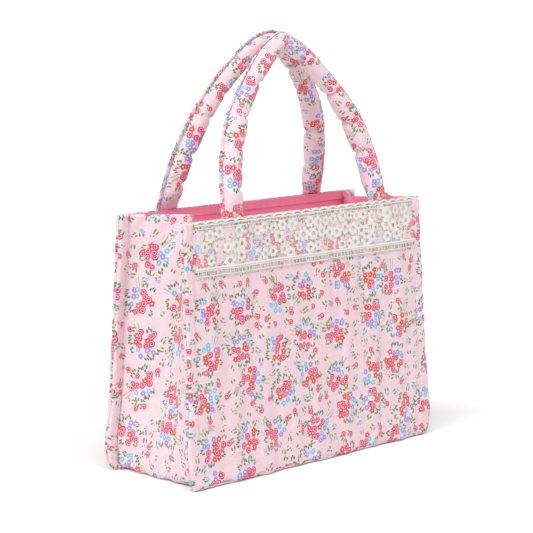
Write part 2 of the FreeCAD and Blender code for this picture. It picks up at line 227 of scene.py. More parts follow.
def join_parts(name, parts):
    """One mesh from several (points, faces) pairs."""
    points, faces, start = [], [], 0
    for some_points, some_faces in parts:
        points.append(some_points)
        faces += [tuple(i + start for i in f) for f in some_faces]
        start += len(some_points)
    return make_piece(name, np.concatenate(points), faces)


# -------- materials
def colour(red, green, blue):
    """A linear colour from display values of 0 to 255."""
    def linear(c):
        c /= 255
        return c / 12.92 if c <= 0.04045 else ((c + 0.055) / 1.055) ** 2.4
    return (linear(red), linear(green), linear(blue), 1.0)


class Graph:
    """A short way to write a node tree: each call adds a node and gives back its output."""

    def __init__(self, tree):
        self.tree = tree

    def node(self, kind, **settings):
        made = self.tree.nodes.new(kind)
        for key, value in settings.items():
            setattr(made, key, value)
        return made

    def put(self, socket, value):
        if isinstance(value, bpy.types.NodeSocket):
            self.tree.links.new(value, socket)
        else:
            socket.default_value = value

    def math(self, operation, a, b=0.0, c=0.0, clamp=False):
        made = self.node("ShaderNodeMath", operation=operation, use_clamp=clamp)
        for socket, value in zip(made.inputs, (a, b, c)):
            self.put(socket, value)
        return made.outputs[0]

    def vector(self, operation, a, b=(0.0, 0.0, 0.0), scale=1.0):
        made = self.node("ShaderNodeVectorMath", operation=operation)
        self.put(made.inputs[0], a)
        self.put(made.inputs[1], b)
        self.put(made.inputs[3], scale)
        return made.outputs[1 if operation in ("LENGTH", "DOT_PRODUCT", "DISTANCE") else 0]

    def split(self, vector):
        made = self.node("ShaderNodeSeparateXYZ")
        self.put(made.inputs[0], vector)
        return made.outputs[0], made.outputs[1]

    def mix(self, factor, a, b):
        made = self.node("ShaderNodeMix", data_type="RGBA", clamp_factor=True)
        self.put(made.inputs[0], factor)
        self.put(made.inputs[6], a)
        self.put(made.inputs[7], b)
        return made.outputs[2]

    def below(self, value, limit, soft=0.25):
        """1 where value is under limit, 0 where over, with an edge `soft` wide."""
        gap = self.math("SUBTRACT", limit, value)
        return self.math("MULTIPLY_ADD", gap, 1 / soft, 0.5, clamp=True)

    def both(self, *masks):
        result = masks[0]
        for mask in masks[1:]:
            result = self.math("MULTIPLY", result, mask)
        return result

    def noise(self, vector, scale, detail=2.0, dimensions="2D"):
        made = self.node("ShaderNodeTexNoise", noise_dimensions=dimensions)
        self.put(made.inputs["Vector"], vector)
        self.put(made.inputs["Scale"], scale)
        self.put(made.inputs["Detail"], detail)
        return made.outputs[0], made.outputs[1]

    def cells(self, vector, spacing, randomness):
        """Random cells: each cell's centre and its own random colour."""
        made = self.node("ShaderNodeTexVoronoi", voronoi_dimensions="2D", feature="F1")
        self.put(made.inputs["Vector"], vector)
        self.put(made.inputs["Scale"], 1 / spacing)
        self.put(made.inputs["Randomness"], randomness)
        return made.outputs["Position"], made.outputs["Color"]

    def turned(self, x, y, angle):
        """x and y in axes turned by an angle."""
        c = self.math("COSINE", angle)
        s = self.math("SINE", angle)
        along = self.math("ADD", self.math("MULTIPLY", x, c), self.math("MULTIPLY", y, s))
        across = self.math("SUBTRACT", self.math("MULTIPLY", y, c), self.math("MULTIPLY", x, s))
        return along, across

    def leaf(self, along, across, middle, lift, length, width):
        """A pointed leaf about (middle, lift)."""
        a = self.math("ABSOLUTE", self.math("SUBTRACT", along, middle))
        b = self.math("ABSOLUTE", self.math("SUBTRACT", across, lift))
        reach = self.math("SUBTRACT", 1.0, self.math("POWER", self.math("DIVIDE", a, length), 2.0))
        return self.below(b, self.math("MULTIPLY", reach, width))

    def dot(self, along, across, middle, lift, radius):
        a = self.math("SUBTRACT", along, middle)
        b = self.math("SUBTRACT", across, lift)
        square = self.math("ADD", self.math("MULTIPLY", a, a), self.math("MULTIPLY", b, b))
        return self.below(self.math("SQRT", square), radius)


GROUND = colour(238, 209, 216)
ROSE, ROSE_DEEP, ROSE_LINE = colour(234, 76, 126), colour(196, 14, 70), colour(255, 226, 234)
CORAL, CORAL_DEEP = colour(240, 118, 100), colour(208, 52, 66)
SKY, SKY_LIGHT = colour(112, 176, 222), colour(178, 216, 240)
LAVENDER, LAVENDER_LIGHT = colour(150, 126, 212), colour(196, 178, 236)
LEAF, LEAF_DARK, STEM = colour(100, 158, 108), colour(58, 118, 88), colour(146, 184, 136)
HEART, HALO = colour(252, 236, 196), colour(250, 232, 236)

BOUQUET_SPACING = 47.0      # millimetres, as are all the print's sizes
BOUQUET_SCATTER = 0.4       # randomness of the bouquets' places, from 0 to 1
BOUQUET_RADIUS = 15.0
LEAF_RING = 18.6
FLOWER_SPACING = 6.9
SPRIG_SPACING = 12.0
FLOWER_SCATTER = 0.75
SPRIG_CLEARANCE = 2.5       # from a bouquet's leaves to the nearest sprig
ROSE_RADIUS, SPRIG_ROSE_RADIUS = 3.85, 3.4
CORAL_RADIUS, COOL_RADIUS, HALO_RADIUS = 4.2, 4.0, 4.7
FULL_TURN = 2 * math.pi


def rose(g, radius, turn):
    """Colour of a rose with a light swirl, at a radius and an angle from its middle."""
    swirl = g.math("SINE", g.math("ADD", g.math("MULTIPLY", radius, 2.9), turn))
    shade = g.mix(g.below(radius, 1.6, 1.2), ROSE, ROSE_DEEP)
    shade = g.mix(g.math("MULTIPLY", g.below(2.9, radius, 1.0), 0.85), shade, ROSE_DEEP)
    lines = g.both(g.below(0.45, swirl, 0.5), g.below(radius, 3.3, 0.6))
    return g.mix(g.math("MULTIPLY", lines, 0.66), shade, ROSE_LINE)


def petals(g, radius, turn, size):
    """Mask of a five-petalled flower."""
    wave = g.math("ABSOLUTE", g.math("COSINE", g.math("MULTIPLY", turn, 2.5)))
    return g.below(radius, g.math("MULTIPLY", g.math("MULTIPLY_ADD", wave, 0.42, 0.58), size))


def print_group():
    """Node group: millimetres along the cloth in, printed colour out."""
    tree = bpy.data.node_groups.new("floral_print", "ShaderNodeTree")
    tree.interface.new_socket("Cloth", in_out="INPUT", socket_type="NodeSocketVector")
    tree.interface.new_socket("Color", in_out="OUTPUT", socket_type="NodeSocketColor")
    g = Graph(tree)
    cloth = g.node("NodeGroupInput").outputs[0]
    wobble = g.vector("SUBTRACT", g.noise(cloth, 0.45)[1], (0.5, 0.5, 0.5))
    place = g.vector("ADD", cloth, g.vector("SCALE", wobble, scale=1.1))

    # Sprigs between the bouquets.
    spot, chance = g.cells(place, SPRIG_SPACING, FLOWER_SCATTER)
    home = g.cells(spot, BOUQUET_SPACING, BOUQUET_SCATTER)[0]
    clear = g.below(LEAF_RING + SPRIG_CLEARANCE, g.vector("DISTANCE", spot, home), 0.1)
    kind, spin = g.split(chance)
    x, y = g.split(g.vector("SUBTRACT", place, spot))
    along, across = g.turned(x, y, g.math("MULTIPLY", spin, FULL_TURN))
    radius = g.math("SQRT", g.math("ADD", g.math("MULTIPLY", x, x), g.math("MULTIPLY", y, y)))
    turn = g.math("ARCTAN2", along, across)
    leaves = g.math("MAXIMUM", g.leaf(along, across, 5.2, 1.5, 2.8, 1.1),
                    g.leaf(along, across, 4.4, -2.1, 2.5, 1.0))
    result = g.mix(g.both(clear, leaves), GROUND, LEAF)
    is_rose = g.both(clear, g.below(kind, 0.3, 0.01))
    result = g.mix(g.both(is_rose, g.below(radius, SPRIG_ROSE_RADIUS)), result, rose(g, radius, turn))
    is_blue = g.both(clear, g.below(0.3, kind, 0.01), g.below(kind, 0.5, 0.01))
    small = g.math("MAXIMUM", petals(g, radius, turn, 2.1), g.dot(along, across, 2.4, 2.6, 0.9))
    result = g.mix(g.both(is_blue, small), result, SKY)
    result = g.mix(g.both(is_blue, g.below(radius, 0.6)), result, HEART)
    is_bud = g.both(clear, g.below(0.5, kind, 0.01), g.below(kind, 0.8, 0.01))
    buds = g.math("MAXIMUM", g.dot(along, across, 0.0, 0.0, 0.85),
                  g.math("MAXIMUM", g.dot(along, across, 2.6, 1.2, 0.75),
                         g.dot(along, across, -1.6, 2.4, 0.7)))
    result = g.mix(g.both(is_bud, buds), result, ROSE_DEEP)

    # Pale stems that leave each bouquet on one side.
    centre, tint = g.cells(place, BOUQUET_SPACING, BOUQUET_SCATTER)
    stem_turn = g.split(tint)[1]
    x, y = g.split(g.vector("SUBTRACT", place, centre))
    along, across = g.turned(x, y, g.math("MULTIPLY", stem_turn, FULL_TURN))
    fan = g.math("DIVIDE", across, g.math("MAXIMUM", along, 0.1))
    stripes = g.below(0.35, g.math("SINE", g.math("MULTIPLY", fan, 34.0)), 0.6)
    stems = g.both(stripes, g.below(g.math("ABSOLUTE", fan), 0.22, 0.04),
                   g.below(12.0, along), g.below(along, 24.5))
    result = g.mix(g.math("MULTIPLY", stems, 0.8), result, STEM)

    # Bouquets: flowers in the middle and a ring of leaves round them that point outward.
    spot, chance = g.cells(place, FLOWER_SPACING, FLOWER_SCATTER)
    home, tint = g.cells(spot, BOUQUET_SPACING, BOUQUET_SCATTER)
    lean_turn = g.split(tint)[0]
    kind, spin = g.split(chance)
    reach = g.math("ADD", g.vector("DISTANCE", spot, home), g.math("MULTIPLY", spin, 2.0))
    x, y = g.split(g.vector("SUBTRACT", place, spot))
    radius = g.math("SQRT", g.math("ADD", g.math("MULTIPLY", x, x), g.math("MULTIPLY", y, y)))
    side_x, side_y = g.split(g.vector("SUBTRACT", spot, home))
    outward = g.math("ADD", g.math("ARCTAN2", side_y, side_x), g.math("MULTIPLY_ADD", kind, 1.4, -0.7))
    along, across = g.turned(x, y, outward)
    turn = g.math("ARCTAN2", along, across)
    pair = g.math("MAXIMUM", g.leaf(along, across, -0.2, 2.2, 2.3, 1.05),
                  g.leaf(along, across, 0.5, -2.0, 2.4, 1.1))
    pair = g.math("MAXIMUM", pair, g.leaf(along, across, 2.2, 0.2, 2.1, 0.95))
    green = g.mix(spin, LEAF, LEAF_DARK)
    result = g.mix(g.both(g.below(reach, LEAF_RING, 0.1), pair), result, green)
    in_bunch = g.below(reach, BOUQUET_RADIUS, 0.1)
    halo = g.math("MULTIPLY", g.both(in_bunch, g.below(radius, HALO_RADIUS, 0.6)), 0.6)
    result = g.mix(halo, result, HALO)
    lean = g.turned(side_x, side_y, g.math("MULTIPLY", lean_turn, FULL_TURN))[0]
    cool = g.both(in_bunch, g.below(3.2, lean, 0.1))
    warm = g.both(in_bunch, g.below(lean, 3.2, 0.1))
    is_coral = g.both(warm, g.below(0.7, kind, 0.01))
    is_rose = g.both(warm, g.below(kind, 0.7, 0.01))
    result = g.mix(g.both(is_rose, g.below(radius, ROSE_RADIUS)), result, rose(g, radius, turn))
    edge = g.below(2.4, radius, 2.0)
    result = g.mix(g.both(is_coral, petals(g, radius, turn, CORAL_RADIUS)), result,
                   g.mix(edge, CORAL_DEEP, CORAL))
    is_sky = g.both(cool, g.below(kind, 0.55, 0.01))
    result = g.mix(g.both(is_sky, petals(g, radius, turn, COOL_RADIUS)), result,
                   g.mix(edge, SKY, SKY_LIGHT))
    is_lavender = g.both(cool, g.below(0.55, kind, 0.01))
    result = g.mix(g.both(is_lavender, petals(g, radius, turn, COOL_RADIUS)), result,
                   g.mix(edge, LAVENDER, LAVENDER_LIGHT))
    hearts = g.both(g.math("MAXIMUM", is_coral, cool), g.below(radius, 0.9))
    result = g.mix(hearts, result, HEART)
    g.put(g.node("NodeGroupOutput").inputs[0], result)
    return tree


def new_material(name):
    material = bpy.data.materials.new(name)
    material.use_nodes = True
    g = Graph(material.node_tree)
    return material, g, material.node_tree.nodes["Principled BSDF"]


def cloth_millimetres(g):
    return g.vector("SCALE", g.node("ShaderNodeUVMap", uv_map="cloth").outputs[0], scale=1000.0)


def weave(g, cloth, pitch):
    """Height of a plain weave with threads `pitch` millimetres apart."""
    x, y = g.split(cloth)
    one = g.math("SINE", g.math("MULTIPLY", x, 2 * math.pi / pitch))
    two = g.math("SINE", g.math("MULTIPLY", y, 2 * math.pi / pitch))
    return g.math("MULTIPLY", one, two)


def finish_cloth(g, shader, base, cloth, pitch, crinkle, thread_shade=0.04, depth=1.0):
    """Colour, roughness and bump that every woven cloth here shares."""
    threads = weave(g, cloth, pitch)
    soft = g.noise(cloth, 0.07, 3.0)[0]
    grain = g.noise(cloth, 0.55, 2.0)[0]
    tone = g.math("MULTIPLY_ADD", threads, thread_shade / 2, 1 - thread_shade / 2)
    tone = g.math("MULTIPLY", tone, g.math("MULTIPLY_ADD", soft, 0.08 * depth, 0.96 * depth))
    tone = g.math("MULTIPLY", tone, g.math("MULTIPLY_ADD", grain, 0.24, 0.88))
    g.put(shader.inputs["Base Color"], g.vector("SCALE", base, scale=tone))
    g.put(shader.inputs["Roughness"], g.math("MULTIPLY_ADD", soft, 0.16, 0.76))
    shader.inputs["Sheen Weight"].default_value = 0.18
    shader.inputs["Sheen Roughness"].default_value = 0.45
    height = g.math("MULTIPLY_ADD", threads, 0.03, g.math("MULTIPLY", soft, crinkle))
    height = g.math("MULTIPLY_ADD", grain, 0.22, height)
    bump = g.node("ShaderNodeBump")
    g.put(bump.inputs["Height"], height)
    bump.inputs["Strength"].default_value = 0.6
    bump.inputs["Distance"].default_value = MM
    g.put(shader.inputs["Normal"], bump.outputs[0])


def printed_cotton():
    material, g, shader = new_material("printed_cotton")
    cloth = cloth_millimetres(g)
    group = g.node("ShaderNodeGroup", node_tree=print_group())
    g.put(group.inputs[0], cloth)
    finish_cloth(g, shader, group.outputs[0], cloth, pitch=0.6, crinkle=2.6, depth=0.86)
    return material


def plain_cotton(name, base):
    material, g, shader = new_material(name)
    cloth = cloth_millimetres(g)
    shade = g.mix(g.noise(cloth, 0.02, 2.0)[0], base, tuple(0.86 * c for c in base[:3]) + (1.0,))
    finish_cloth(g, shader, shade, cloth, pitch=0.7, crinkle=1.2, thread_shade=0.08)
    return material


def thread_material(name, base):
    material, g, shader = new_material(name)
    place = g.vector("SCALE", g.node("ShaderNodeTexCoord").outputs["Object"], scale=1000.0)
    strands = g.noise(place, 1.8, 3.0, "3D")[0]
    g.put(shader.inputs["Base Color"],
          g.mix(strands, base, tuple(0.84 * c for c in base[:3]) + (1.0,)))
    g.put(shader.inputs["Roughness"], g.math("MULTIPLY_ADD", strands, 0.2, 0.6))
    bump = g.node("ShaderNodeBump")
    g.put(bump.inputs["Height"], strands)
    bump.inputs["Strength"].default_value = 0.5
    bump.inputs["Distance"].default_value = 0.3 * MM
    g.put(shader.inputs["Normal"], bump.outputs[0])
    return material


def net_material():
    """Fine net: threads round small cells, see-through between them."""
    material, g, shader = new_material("lace_net")
    cloth = cloth_millimetres(g)
    edges = g.node("ShaderNodeTexVoronoi", voronoi_dimensions="2D", feature="DISTANCE_TO_EDGE")
    g.put(edges.inputs["Vector"], cloth)
    edges.inputs["Scale"].default_value = 1 / 1.3
    edges.inputs["Randomness"].default_value = 0.15
    threads = g.below(edges.outputs["Distance"], 0.13, 0.1)
    g.put(shader.inputs["Base Color"],
          g.mix(g.noise(cloth, 0.6)[0], colour(255, 252, 250), colour(246, 242, 240)))
    g.put(shader.inputs["Roughness"], g.math("MULTIPLY_ADD", threads, 0.2, 0.6))
    g.put(shader.inputs["Alpha"], g.math("MULTIPLY_ADD", threads, 0.2, 0.03))
    return material


PRINTED = printed_cotton()
CORAL_LINING = plain_cotton("lining_cotton", colour(238, 136, 170))
HEM_LINING = plain_cotton("hem_cotton", colour(244, 144, 172))
LACE_THREAD = thread_material("lace_thread", colour(230, 224, 218))
SEWING_THREAD = thread_material("sewing_thread", colour(236, 196, 202))
NET = net_material()


def dress(piece, material, body="bag", replaces=()):
    """Gives a piece its material, its body and the solids it stands for."""
    piece.data.materials.append(material)
    if body:
        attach(piece, body)
    if replaces:
        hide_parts(*replaces)


# -------- walls
def ripple(x, z, phase=0.0):
    """Soft vertical ripples and a slight crown of a padded wall."""
    first = np.sin(2 * math.pi * x / 0.041 + 1.1 * np.sin(2 * math.pi * z / 0.23) + phase)
    second = np.sin(2 * math.pi * x / 0.0235 + 0.9 * np.sin(2 * math.pi * z / 0.15) + 2 + phase)
    third = np.sin(2 * math.pi * (x / 0.11 + z / 0.19) + phase)
    return (0.8 * first + 0.35 * second + 1.0 * third) * MM


def seam_place(z):
    """Half width of the seam line on a flat wall, which tucks in near the floor."""
    return half_width(z) - SEAM_TUCK * smooth((0.045 - z) / 0.045)


def flat_wall_bump(x, z, phase=0.0):
    """How far a flat wall's face stands off its straight plane."""
    seam = seam_place(z)
    inside = np.clip((seam - abs(x)) / 0.02, 0, 1)
    top = np.clip((HEIGHT - z) / 0.02, 0, 1)
    from_seam = (abs(x) - seam) / MM
    groove = 1.3 * MM * np.exp(-(from_seam / 1.5) ** 2)
    outside = np.clip(from_seam / 3, 0, 1)
    pucker = 0.3 * MM * np.exp(-(from_seam / 6.0) ** 2) * np.sin(2 * math.pi * z / 0.0085)
    pucker = pucker + 0.7 * MM * outside * np.sin(2 * math.pi * (z / 0.031 + 0.4 * np.sin(z / 0.021)))
    return ripple(x, z, phase) * inside * (0.4 + 0.6 * top) + 0.8 * MM * inside - groove + pucker


def wall_rows(count):
    """Inset and height down a wall: straight to near the floor, then rolling under."""
    foot = LAYER / 2 + REST
    straight = HEIGHT - ROUND_UNDER - foot
    rolled = ROUND_UNDER * math.pi / 2
    down = dense_ends(count) * (straight + rolled)
    angle = np.clip((down - straight) / ROUND_UNDER, 0, math.pi / 2)
    height = np.where(down < straight, HEIGHT - down, ROUND_UNDER * (1 - np.sin(angle)) + foot)
    return ROUND_UNDER * (1 - np.cos(angle)), height, down


def flat_wall(name, side, replaces):
    rows, columns = 130, 171
    inset, z, down = (a[:, None] for a in wall_rows(rows))
    u = np.linspace(-1, 1, columns)[None, :]
    seam_at = 0.9
    flange = FLANGE * np.sqrt(1 - np.clip(1 - z / FLANGE_CORNER, 0, 1) ** 2 * FLANGE_ROUND)
    beyond = np.clip((abs(u) - seam_at) / (1 - seam_at), 0, 1)
    x = np.sign(u) * (np.clip(abs(u) / seam_at, 0, 1) * seam_place(z) + beyond * (
        flange + flare(z) + half_width(z) - seam_place(z)))
    y = side * (half_depth(z) - inset - LAYER / 2)
    middle = stacked(x, y, z)
    if side > 0:
        middle = middle[:, ::-1]
    face_x = middle[..., 0]
    outer = LAYER / 2 + flat_wall_bump(face_x, middle[..., 2], 0.0 if side < 0 else BACK_PHASE)
    inner = np.full_like(outer, LAYER / 2)
    uv = stacked(-side * face_x + (0.3 if side < 0 else 0.9), -down)
    piece = slab(name, middle, outer, inner, uv)
    dress(piece, PRINTED, replaces=replaces)


def rounded_path(corners, count, blur):
    """A polyline with softened corners, resampled evenly. corners holds one row a point."""
    lengths = np.r_[0, np.cumsum(np.linalg.norm(np.diff(corners, axis=0), axis=1))]
    fine = np.linspace(0, lengths[-1], 240)
    line = np.stack([np.interp(fine, lengths, corners[:, k]) for k in range(2)], axis=1)
    reach = int(3 * blur / (fine[1] - fine[0])) + 1
    kernel = np.exp(-0.5 * (np.arange(-reach, reach + 1) * (fine[1] - fine[0]) / blur) ** 2)
    kernel /= kernel.sum()
    first = 2 * line[0] - line[1:reach + 1][::-1]
    last = 2 * line[-1] - line[-reach - 1:-1][::-1]
    padded = np.concatenate([first, line, last])
    line = np.stack([np.convolve(padded[:, k], kernel, mode="valid") for k in range(2)], axis=1)
    lengths = np.r_[0, np.cumsum(np.linalg.norm(np.diff(line, axis=0), axis=1))]
    even = np.linspace(0, lengths[-1], count)
    return np.stack([np.interp(even, lengths, line[:, k]) for k in range(2)], axis=1), even


def gusset_grid(hand, rows, columns, with_lips=True):
    """Middle surface of a folded gusset, and how far across it each corner seam lies."""
    inset, heights, down = wall_rows(rows)
    grid, across, corner = np.zeros((rows, columns, 3)), np.zeros((rows, columns)), np.zeros(rows)
    for i, (shift, z) in enumerate(zip(inset, heights)):
        edge = half_depth(z) - LAYER * 1.5 - shift
        side = half_width(z) + flare(z) - LAYER / 2 - shift
        deep = fold_depth(z)
        lip = FLANGE * math.sqrt(1 - max(0.0, 1 - z / FLANGE_CORNER) ** 2 * FLANGE_ROUND) + LAYER / 2
        web = [(side, -edge), (side - deep, 0.0), (side, edge)]
        if with_lips:
            web = [(side + lip, -edge), *web, (side + lip, edge)]
        else:
            web = [(side + 0.8 * MM, -edge - 1.6 * MM), *web, (side + 0.8 * MM, edge + 1.6 * MM)]
        line, along = rounded_path(np.array(web), columns, 2.2 * MM)
        grid[i, :, 0], grid[i, :, 1] = hand * line[:, 0], line[:, 1]
        pleat = 6 * MM * np.exp(-((line[:, 1] + half_depth(z) / 2) / (5 * MM)) ** 2)
        grid[i, :, 2] = z + pleat * smooth((z / HEIGHT - 0.8) / 0.2) * (hand > 0)
        across[i] = along - along[-1] / 2
        corner[i] = math.hypot(deep, edge)
    return grid, across, down, corner


def gusset(name, hand, replaces):
    grid, across, down, corner = gusset_grid(hand, 120, 121)
    if hand < 0:
        grid, across = grid[:, ::-1], across[:, ::-1]
    z = grid[..., 2]
    outer = LAYER / 2 + ripple(across * 1.3, z, 1.0) * 0.8
    crease = 1.5 * MM * np.exp(-((abs(across) - corner[:, None]) / (1.5 * MM)) ** 2)
    uv = stacked(hand * across + (1.6 if hand < 0 else 2.3), -down[:, None])
    piece = slab(name, grid, outer - crease, np.full_like(outer, LAYER / 2), uv)
    dress(piece, PRINTED, replaces=replaces)


def base_panel():
    rows, columns = 60, 120
    x = (dense_ends(columns) * 2 - 1) * (BOTTOM_HALF_WIDTH - 2 * MM)
    y = (dense_ends(rows) * 2 - 1) * (BOTTOM_HALF_DEPTH - 2 * MM)
    middle = stacked(x[None, :], -y[:, None], 1.0 * MM)
    lift = 3.5 * MM * smooth((np.maximum(abs(middle[..., 0]) / BOTTOM_HALF_WIDTH,
                                         abs(middle[..., 1]) / BOTTOM_HALF_DEPTH) - 0.9) / 0.1)
    middle[..., 2] += lift
    middle = middle[::-1]
    thick = np.full(middle.shape[:2], 0.9 * MM)
    piece = slab("base_panel", middle, thick, thick, middle[..., :2] + 3.0, radius=1.5 * MM)
    dress(piece, PRINTED, replaces=("base_outer_panel",))


# -------- lining
def lining_sheet(name, middle, uv, thickness, material, node):
    half = np.full(middle.shape[:2], thickness / 2)
    piece = slab(name, middle, half, half, uv, radius=thickness / 2)
    dress(piece, material, replaces=(node,))


def flat_lining(name, side, node, low, high, depth, thickness, material):
    rows, columns = 70, 110
    z = np.linspace(high, low, rows)[:, None]
    u = np.linspace(-1, 1, columns)[None, :]
    x = u * (half_width(z) - LAYER + 0.3 * MM)
    slack = 0.5 * MM * np.sin(2 * math.pi * x / 0.06 + side) * smooth((HEIGHT - z) / 0.03)
    y = side * (half_depth(z) - depth - thickness / 2 - abs(slack))
    middle = stacked(x, y, z)
    uv = middle[..., [0, 2]] + 4.0
    lining_sheet(name, middle, uv, thickness, material, node)


def gusset_lining(name, hand, node, low, depth, thickness, material):
    grid, across, _, _ = gusset_grid(hand, 120, 81, with_lips=False)
    normal = grid_normals(grid)
    if normal[60, 20, 0] * hand > 0:
        normal = -normal
    grid = grid + normal * (LAYER / 2 + depth + thickness / 2)
    keep = grid[:, 40, 2] >= low
    grid, across = grid[keep], across[keep]
    uv = stacked(across, grid[..., 2]) + 6.0
    lining_sheet(name, grid, uv, thickness, material, node)


def base_lining():
    low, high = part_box("base_lining")
    rows, columns = 30, 60
    x = np.linspace(low.x, high.x, columns)[None, :]
    y = np.linspace(low.y, high.y, rows)[:, None]
    z = (low.z + high.z) / 2 + 0.4 * MM * np.sin(x / 0.02) * np.sin(y / 0.017)
    middle = stacked(x, y, z)
    lining_sheet("base_lining_cloth", middle, middle[..., :2] + 8.0, LINING, CORAL_LINING,
                 "base_lining")


# -------- lace
def on_front(x, z, off=0.0):
    """A point on the front wall's face, `off` in front of it."""
    x, z = np.broadcast_arrays(x, z)
    y = -(half_depth(z) + flat_wall_bump(x, z) + off)
    return np.stack([x, y, z], axis=-1)


def lace_net():
    """The fine net that all the lace is worked on."""
    rows, columns = 24, 150
    foot = LACE_FOOT + 1 * MM
    z = np.linspace(HEIGHT - 1 * MM, foot, rows)[:, None]
    x = np.linspace(-1, 1, columns)[None, :] * (half_width(z) - 1.5 * MM)
    middle = on_front(x, z, 0.7 * MM)
    half = np.full((rows, columns), 0.12 * MM)
    uv = middle[..., [0, 2]]
    piece = slab("lace_net_cloth", middle, half, half, uv, radius=0.2 * MM)
    dress(piece, NET, replaces=("lace_net",))


def petal(x, z, size):
    """A round worked petal: a ring of thread with a domed filling."""
    turn = np.linspace(0, 2 * math.pi, 12, endpoint=False)
    ring_x, ring_z = x + size * np.cos(turn), z + size * np.sin(turn)
    edge = tube(on_front(ring_x, ring_z, 0.9 * MM), 0.45 * MM, sides=5, closed=True)
    filling = np.concatenate([on_front(ring_x, ring_z, 0.9 * MM), on_front(x, z, 1.5 * MM)[None]])
    return [edge, (filling, [(i, (i + 1) % 12, 12) for i in range(12)])]


def embroidery():
    """Close rows of white flowers worked over the net, each with an open middle."""
    pick = random.Random(11)
    parts = []
    low, high = LADDER_TOP + 6.0 * MM, SCALLOP_FOOT - 5.5 * MM
    rows, pitch = 3, 12.6 * MM
    for row in range(rows):
        z_row = low + (high - low) * row / (rows - 1)
        reach = half_width(z_row) - 9 * MM
        for i in range(int(2 * reach / pitch) + 1):
            x = -reach + (i + 0.5 * (row % 2)) * pitch + pick.uniform(-3.0, 3.0) * MM
            z = z_row + pick.uniform(-2.6, 2.6) * MM
            if pick.random() < 0.12 or abs(x) > reach:
                continue
            size = pick.uniform(0.95, 1.38)
            spin = pick.uniform(0, math.pi)
            for k in range(6):
                angle = spin + math.pi * k / 3
                away = 3.7 * MM * size
                parts += petal(x + away * math.cos(angle), z + away * math.sin(angle),
                               1.7 * MM * size)
    piece = join_parts("lace_embroidery", parts)
    dress(piece, LACE_THREAD)


def scallops():
    """Two twisted scalloped cords along the top edge, a plain cord below, threads between."""
    pitch = 13.8 * MM
    reach = half_width(HEIGHT) - 1.0 * MM
    count = int(round(2 * reach / pitch))
    parts = []
    x = np.linspace(-reach, reach, count * 16 + 1)
    hump = abs(np.sin(math.pi * (x + reach) * count / (2 * reach)))
    for low, height, off, radius in ((HEIGHT - 2.6 * MM, 2.2 * MM, 0.9 * MM, 1.1 * MM),
                                     (HEIGHT - 4.3 * MM, 0.6 * MM, 0.9 * MM, 0.95 * MM)):
        twist = 0.22 * MM * np.sin(2 * math.pi * x / (2.4 * MM))
        parts.append(tube(on_front(x, low + height * hump + twist, off), radius, 7))
    foot = SCALLOP_FOOT + 0.8 * MM
    parts.append(tube(on_front(x, foot + 0 * x, 0.8 * MM), 0.55 * MM, 6))
    for i in range(count):
        middle = -reach + (i + 0.5) * 2 * reach / count
        for lean in (-1, 1):
            ends = np.array([middle + lean * 1.2 * MM, middle + lean * 4.4 * MM])
            parts.append(tube(on_front(ends, np.array([foot, HEIGHT - 3.0 * MM]), 0.9 * MM),
                              0.45 * MM, 5))
    piece = join_parts("lace_scallops", parts)
    dress(piece, LACE_THREAD, replaces=("lace_scallop_braid",))


def ladder():
    """An openwork braid: two upper rails, a thin lower rail, rungs, and small loops below."""
    reach = half_width(LACE_FOOT) - 1.0 * MM
    x = np.linspace(-reach, reach, 160)
    parts = []
    upper, lower = LADDER_TOP - 1.5 * MM, LACE_FOOT + 2.0 * MM
    for z, radius in ((upper, 1.2 * MM), (upper - 1.9 * MM, 0.9 * MM), (lower, 0.65 * MM)):
        parts.append(tube(on_front(x, z + 0 * x, 0.9 * MM), radius, 6))
    pitch = 5.3 * MM
    for i in range(int(2 * reach / pitch)):
        at = -reach + (i + 0.5) * pitch
        ends = np.array([at, at])
        parts.append(tube(on_front(ends, np.array([lower, upper]), 0.9 * MM), 0.5 * MM, 5))
        half_turn = np.linspace(0, math.pi, 6)
        parts.append(tube(on_front(at + 2.3 * MM * np.cos(half_turn),
                                   lower - 1.5 * MM * np.sin(half_turn), 0.9 * MM), 0.4 * MM, 5))
    piece = join_parts("lace_ladder", parts)
    dress(piece, LACE_THREAD, replaces=("lace_ladder_braid",))


# -------- stitching
def corner_stitches(name, side, node):
    """Rows of topstitching down both corner seams of one wall."""
    parts = []
    phase = 0.0 if side < 0 else BACK_PHASE
    for hand in (-1, 1):
        z = 0.014
        while z < HEIGHT - 0.006:
            ends = np.array([z, z + 2.8 * MM])
            x = hand * seam_place(ends)
            y = side * (half_depth(ends) + flat_wall_bump(x, ends, phase) + 0.1 * MM)
            parts.append(tube(stacked(x, y, ends), 0.32 * MM, 6))
            z += 4.2 * MM
    piece = join_parts(name, parts)
    dress(piece, SEWING_THREAD, replaces=(node,))


# -------- handles
LEG_RADIUS = 0.211
LEG_TURN = math.radians(50)
CROWN_RADIUS = (HANDLE_HALF_SPAN - LEG_RADIUS * (1 - math.cos(LEG_TURN))) / math.cos(LEG_TURN)
ARCH_HEIGHT = LEG_RADIUS * math.sin(LEG_TURN) + CROWN_RADIUS * (1 - math.sin(LEG_TURN))
CROWN_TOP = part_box("front_handle_core")[1].z - 10.2 * MM
CROWN_AWAY = 12.4 * MM
ROOT_AWAY = TOP_HALF_DEPTH - 2.2 * MM
ROOT_DEPTH = 12 * MM        # how far the handle's ends reach down inside the wall
HANDLE_ROWS, HANDLE_SIDES = 240, 36


